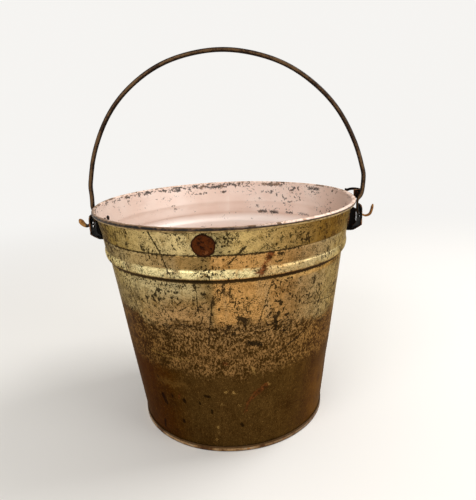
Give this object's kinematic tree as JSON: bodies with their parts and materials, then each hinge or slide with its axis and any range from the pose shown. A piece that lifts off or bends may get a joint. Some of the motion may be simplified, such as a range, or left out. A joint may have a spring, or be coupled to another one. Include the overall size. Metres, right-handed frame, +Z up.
{
  "type": "metal bucket",
  "caption": "Worn gold-coloured sheet-metal pail with a beaded wall, curled rim, riveted ears, a round rusty patch and a swinging wire bail.",
  "frame": {"origin": "centre of the bottom, on the plane that the pail stands on", "axes": "+Z up the pail's axis, +X through the right ear, -Y towards the side with the round patch"},
  "size_m": [0.3118, 0.2674, 0.379],
  "materials": {
    "gilt_sheet": "gold lacquer worn dull and stained dark brown below, chipped pink paint inside",
    "rusty_wire": "brown-black rust",
    "black_iron": "black scale with rust-orange edges",
    "rust_patch": "deep red-brown rust"
  },
  "bodies": {
    "pail": {"body_wall": "gilt_sheet", "bottom_pan": "gilt_sheet", "rim_wire": "rusty_wire", "right_ear": "black_iron", "left_ear": "black_iron", "right_ear_rivet_front": "black_iron", "right_ear_rivet_back": "black_iron", "left_ear_rivet_front": "black_iron", "left_ear_rivet_back": "black_iron", "mending_disc": "rust_patch", "rim_strap": "black_iron"},
    "bail_handle": {"bail": "rusty_wire"}
  },
  "joints": [
    {"name": "bail_swing", "type": "hinge", "parent": "pail", "child": "bail_handle", "pos_m": [0, 0, 0.2095], "axis": [1, 0, 0], "range_deg": [0, 120]}
  ]
}
